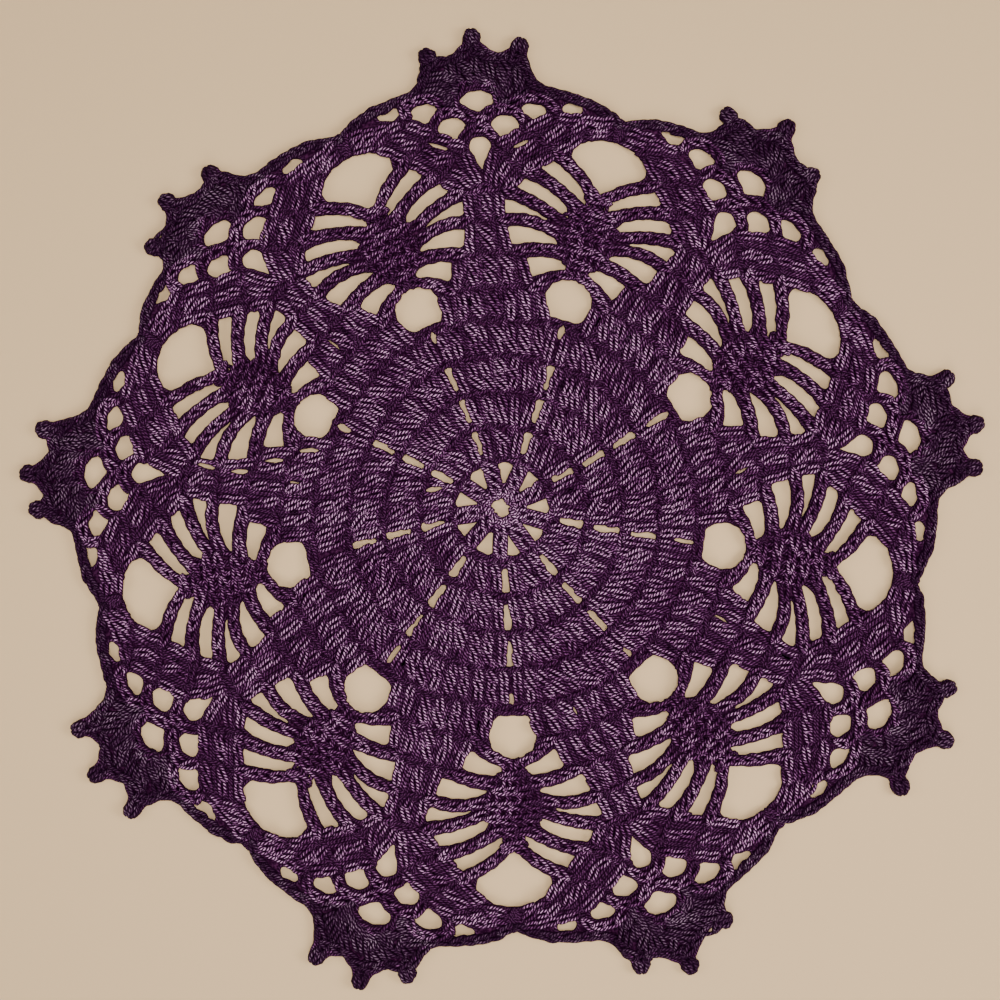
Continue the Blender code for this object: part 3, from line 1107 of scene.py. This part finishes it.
def ranged(tree, value, start=0.0, end=1.0, low=0.0, high=1.0):
    """A value between start and end, moved to between low and high."""
    given = {"Value": value, "From Min": start, "From Max": end, "To Min": low, "To Max": high}
    return wired(tree, "ShaderNodeMapRange", given).outputs["Result"]


def mixed(tree, share, first, second):
    """A colour between two."""
    given = {"Factor": share, "A": first, "B": second}
    return wired(tree, "ShaderNodeMix", given, data_type="RGBA").outputs["Result"]


def bumped(tree, height, distance):
    return wired(tree, "ShaderNodeBump", {"Height": height, "Distance": distance}).outputs["Normal"]


def new_group(name, inputs, outputs):
    """An empty shader node group with these sockets, its input node and its output node."""
    group = bpy.data.node_groups.new(name, "ShaderNodeTree")
    for side, sockets in (("INPUT", inputs), ("OUTPUT", outputs)):
        for socket, kind in sockets:
            group.interface.new_socket(socket, in_out=side, socket_type="NodeSocket" + kind)
    return group, group.nodes.new("NodeGroupInput"), group.nodes.new("NodeGroupOutput")


def ply_twist_group():
    """The twist of the plies: their height, and a mask that is bright along each ply's crest.

    The crests keep to the yarn's two faces; the flanks, where strands press together, are kept dark as
    painted shade.
    """
    group, _, out = new_group("ply_twist", (), (("Height", "Float"), ("Crest", "Float")))
    maths = partial(arithmetic, group)
    uv = wired(group, "ShaderNodeUVMap", uv_map="Plies")
    split = wired(group, "ShaderNodeSeparateXYZ", {"Vector": uv.outputs["UV"]})
    sway = maths("SUBTRACT", noise_over(group, TWIST_NOISE, 1.0), 0.5)
    sway = maths("MULTIPLY", sway, TWIST_UNEVENNESS)
    phase = maths("ADD", maths("ADD", split.outputs["X"], split.outputs["Y"]), sway)
    wave = maths("ABSOLUTE", maths("SINE", maths("MULTIPLY", phase, math.pi)))
    round_yarn = maths("MULTIPLY", split.outputs["Y"], 2 * math.pi / PLIES)
    # Painted shade: the crest mask falls away on the flanks, so they stay dark.
    face = maths("POWER", maths("ABSOLUTE", maths("SINE", round_yarn)), FLANK_SHADE_POWER)
    crest = maths("MULTIPLY", maths("POWER", wave, CREST_SHARPNESS), face)
    feed(group, out, {"Height": wave, "Crest": crest})
    return group


def dye_shade_and_highlight_group():
    """The colour of the plies: dyed purple, with painted shade between them, a painted highlight on their
    crests, each point's painted shade and light, and random unevenness from place to place.
    """
    colours = [(name, "Color") for name in DYE_AND_LIGHT_COLOURS]
    group, given, out = new_group(
        "dye_shade_and_highlight",
        (("Crest", "Float"), *colours, ("Patchiness", "Float")),
        (("Colour", "Color"), ("Roughness", "Float"), ("Shine", "Float")),
    )
    maths = partial(arithmetic, group)
    tone = wired(group, "ShaderNodeAttribute", attribute_name="tone")
    patch = maths("SUBTRACT", tone.outputs["Fac"], 0.5)
    for size, strength in DYE_NOISES:
        uneven = maths("SUBTRACT", noise_over(group, size, 1.0), 0.5)
        patch = maths("ADD", patch, maths("MULTIPLY", uneven, strength))
    patch = maths("MULTIPLY", patch, given.outputs["Patchiness"])
    share = maths("MAXIMUM", maths("ADD", patch, 1.0), LEAST_SHARE)
    share = maths("MULTIPLY", share, given.outputs["Crest"])
    low = ranged(group, share, end=FLANK_SHARE)
    high = ranged(group, share, start=FLANK_SHARE)
    groove, flank, crest = (given.outputs[name] for name in DYE_AND_LIGHT_COLOURS)
    # Painted shade in the grooves and on the flanks, a painted highlight on the crests.
    colour = mixed(group, high, mixed(group, low, groove, flank), crest)
    shine = ranged(group, share, start=FLANK_SHARE, high=FULL_SHINE)
    rough = ranged(group, share, low=GROOVE_ROUGHNESS, high=CREST_ROUGHNESS)
    feed(group, out, {"Colour": colour, "Roughness": rough, "Shine": shine})
    return group


def new_material(name, given):
    """A material with its shader fed with what is given, its node tree and that shader."""
    material = bpy.data.materials.new(name)
    material.use_nodes = True
    shader = material.node_tree.nodes["Principled BSDF"]
    feed(material.node_tree, shader, given)
    return material, material.node_tree, shader


def cotton(name, twist, dye_and_light, colours, patchiness):
    """Plied, mercerised cotton: dark between the plies as painted shade and light on their crests as painted
    highlight.
    """
    given = {"Specular IOR Level": COTTON_SPECULAR, "Coat Roughness": COAT_ROUGHNESS}
    material, tree, shader = new_material(name, given)
    plies = wired(tree, "ShaderNodeGroup", node_tree=twist).outputs
    given = {"Crest": plies["Crest"], "Patchiness": patchiness, **dict(zip(DYE_AND_LIGHT_COLOURS, colours))}
    dyed = wired(tree, "ShaderNodeGroup", given, node_tree=dye_and_light).outputs
    feed(tree, shader, {"Base Color": dyed["Colour"], "Roughness": dyed["Roughness"]})
    feed(tree, shader, {"Coat Weight": dyed["Shine"], "Normal": bumped(tree, plies["Height"], PLY_BUMP)})
    return material


def fuzzy_cotton(name, deep, near):
    """The backs of the stitches, seen between them: matt and fibrous, and dark as painted shade."""
    given = {"Base Color": deep, "Roughness": FUZZ_ROUGHNESS, "Specular IOR Level": COTTON_SPECULAR}
    material, tree, shader = new_material(name, given)
    fuzz = noise_over(tree, FUZZ_NOISE, 3.0)
    colour = mixed(tree, ranged(tree, fuzz, *FUZZ_SPOTS), deep, near)
    feed(tree, shader, {"Base Color": colour, "Normal": bumped(tree, fuzz, FUZZ_BUMP)})
    return material


# ---------------- floor, light and camera

CAMERA_CENTRE = (-0.454, 2.124)  # the middle of the view, in mm
VIEW_WIDTH = 229.89  # what the view takes in at the cloth's middle level, in mm
CAMERA_HEIGHT = 0.32
CLOTH_LEVEL = 0.001
SENSOR = 36.0
FLOOR_HALF = 1500
FLOOR_COLOUR = (0.575, 0.412, 0.242)
SKY_COLOUR = (1.0, 0.93, 0.87)
SKY_STRENGTH = 0.28
LAMP_COLOUR = (1.0, 0.94, 0.86)
# Each lamp's power in watts, its size and its place in metres.
LAMPS = rows(
    "name power size place",
    ("ceiling lamp", 10.0, 0.5, (0.1, 0.1, 1.6)),
    ("overhead", 0.48, 0.1, (0.0, 0.02, 0.3)),
    ("right window", 4.7, 0.3, (0.6, -0.08, 0.4)),
    ("left window", 2.0, 0.3, (-0.6, 0.03, 0.4)),
    ("near window", 3.0, 0.3, (0.03, -0.6, 0.4)),
)


def set_camera():
    data = bpy.data.cameras.new("camera")
    data.sensor_width = SENSOR
    data.lens = SENSOR * (CAMERA_HEIGHT - CLOTH_LEVEL) / (VIEW_WIDTH * MM)
    data.clip_end = 10
    camera = in_scene("camera", data)
    camera.location = (CAMERA_CENTRE[0] * MM, CAMERA_CENTRE[1] * MM, CAMERA_HEIGHT)
    bpy.context.scene.camera = camera


def lay_floor():
    corners = [(x * FLOOR_HALF, y * FLOOR_HALF, 0) for x, y in ((-1, -1), (1, -1), (1, 1), (-1, 1))]
    given = {"Base Color": FLOOR_COLOUR, "Roughness": 0.8, "Specular IOR Level": 0.3}
    material, _, _ = new_material("pale_floor", given)
    floor = in_scene("floor", mesh_of("floor", corners, [(0, 1, 2, 3)], material))


def set_lights():
    world = bpy.data.worlds.new("studio")
    world.use_nodes = True
    sky = {"Color": SKY_COLOUR, "Strength": SKY_STRENGTH}
    feed(world.node_tree, world.node_tree.nodes["Background"], sky)
    bpy.context.scene.world = world
    for lamp in LAMPS:
        data = bpy.data.lights.new(lamp.name, "AREA")
        data.energy = lamp.power
        data.size = lamp.size
        data.color = LAMP_COLOUR
        light = in_scene(lamp.name, data)
        light.location = lamp.place
        light.rotation_euler = (-Vector(lamp.place)).to_track_quat("-Z", "Y").to_euler()


# ---------------- putting it together

# The colours of the plies' grooves, flanks and crests, in the middle and on the shells, and of the ground:
# dark grooves as painted shade and light crests as painted highlight on dyed purple yarn; the shells' copy
# darker, as painted shade where the light falls off toward the rim, and greyer; the ground dark as painted
# shade between the stitches.
PURPLE = ((0.012, 0.0, 0.012), (0.125, 0.034, 0.129), (0.47, 0.262, 0.475))
OUTER_PURPLE = ((0.01, 0.0, 0.011), (0.052, 0.018, 0.054), (0.185, 0.118, 0.192))
SHADED_PURPLE = ((0.012, 0.0003, 0.012), (0.06, 0.012, 0.055))
PATCHINESS = 0.6  # how strongly each point's brightness, painted shade and light with it, and the random unevenness show
OUTER_PATCHINESS = 0.42
WORKS = (edges, centre_rounds, wedge_rounds, arms, spider_legs, spider_bodies, nets, shells, picots)

twist = ply_twist_group()
dye_and_light = dye_shade_and_highlight_group()
purple = cotton("purple_cotton", twist, dye_and_light, PURPLE, PATCHINESS)
# The shells' copy of the cotton, painted darker as shade where the light falls off toward the rim, and
# greyer.
outer_purple = cotton("outer_cotton", twist, dye_and_light, OUTER_PURPLE, OUTER_PATCHINESS)
# The ground: a dark sheet under the stitches, painted shade where the floor would show between them.
ground = ground_cloth(fuzzy_cotton("shaded_cotton", *SHADED_PURPLE))
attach(ground, "root")
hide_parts("doily")
for work in WORKS:
    skein = work()
    piece = made(skein, outer_purple if work in (shells, picots) else purple)
    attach(piece, "root")
set_camera()
lay_floor()
set_lights()
